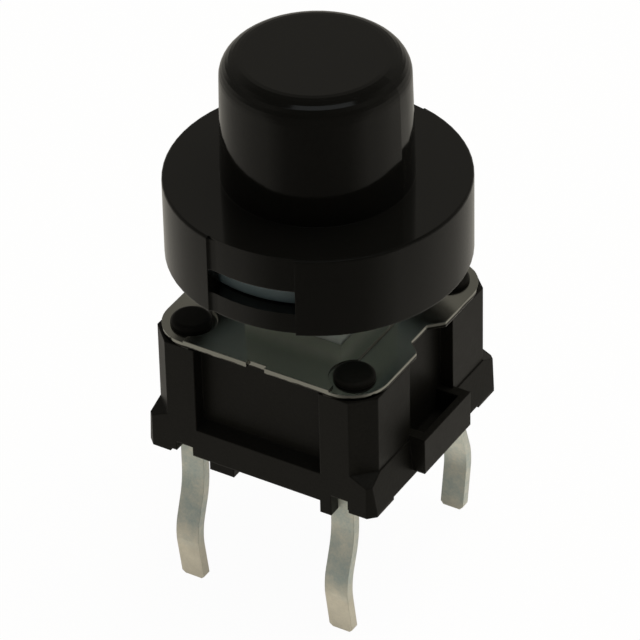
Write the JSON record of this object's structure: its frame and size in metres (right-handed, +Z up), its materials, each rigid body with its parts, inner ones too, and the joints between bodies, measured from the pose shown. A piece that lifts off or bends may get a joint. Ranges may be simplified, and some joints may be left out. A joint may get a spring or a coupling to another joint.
{
  "type": "tactile push button switch",
  "caption": "Square through-hole tactile switch with kinked legs, a riveted steel cover plate and a round button on a wide disc that presses an inner snap dome.",
  "frame": {"origin": "middle of the rectangle on which the four leg tips stand, at the bottom of the part", "axes": "+Z up along the button's travel, +X along the sides that the legs come out of, +Y across them"},
  "size_m": [0.0088, 0.0086, 0.0173],
  "materials": {
    "black_housing": "satin moulded black",
    "polished_steel": "dark polished steel with bright cut edges",
    "tinned_metal": "satin tin plating",
    "dome_steel": "bright spring steel",
    "natural_plastic": "natural milky plastic",
    "black_cap": "glossy moulded black"
  },
  "bodies": {
    "base": {"housing": "black_housing", "cover_plate": "polished_steel", "terminal_middle": "tinned_metal", "terminal_rim": "tinned_metal", "snap_dome": "dome_steel"},
    "button": {"plunger": "natural_plastic", "cap_holder": "natural_plastic", "cap": "black_cap"}
  },
  "joints": [
    {"name": "press", "type": "slide", "parent": "base", "child": "button", "axis": [0, 0, 1], "range_m": [-0.00035, 0], "stiffness_N_per_m": 3000, "springref_m": 0.0001, "deforming": ["snap_dome"]}
  ]
}
